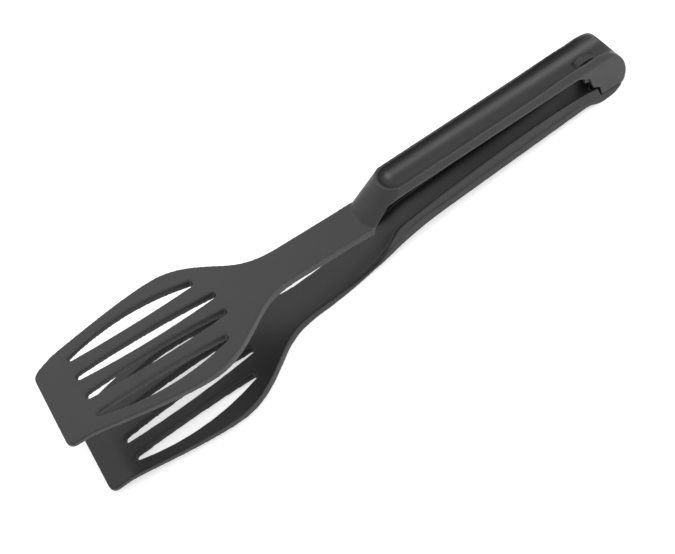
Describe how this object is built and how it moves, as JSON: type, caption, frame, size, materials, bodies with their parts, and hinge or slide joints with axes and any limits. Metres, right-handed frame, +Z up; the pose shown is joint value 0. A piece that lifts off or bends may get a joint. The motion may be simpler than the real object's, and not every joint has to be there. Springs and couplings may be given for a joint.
{
  "type": "kitchen tongs",
  "caption": "Spring loaded kitchen tongs with two slotted turner blades on channel handles, hinged at the rear and held open by a torsion spring.",
  "frame": {"origin": "centre of the bounding box in plan, on the surface the tongs lie on", "axes": "+X from the tips to the hinge, +Z up, -Y the side seen nearest; the lower arm lies on Z = 0"},
  "size_m": [0.291, 0.0684, 0.0443],
  "materials": {
    "nylon_lower": "matte",
    "nylon_upper": "matte",
    "pin_steel": "satin",
    "spring_steel": "satin"
  },
  "bodies": {
    "lower": {"lower_arm": "nylon_lower", "hinge_pin": "pin_steel", "torsion_spring": "spring_steel"},
    "upper": {"upper_arm": "nylon_upper"}
  },
  "joints": [
    {"name": "grip_hinge", "type": "hinge", "parent": "lower", "child": "upper", "pos_m": [0.13151, 0, 0.01226], "axis": [0, -1, 0], "range_deg": [0, 6], "stiffness_Nm_per_rad": 0.6, "springref_deg": -20.05}
  ]
}
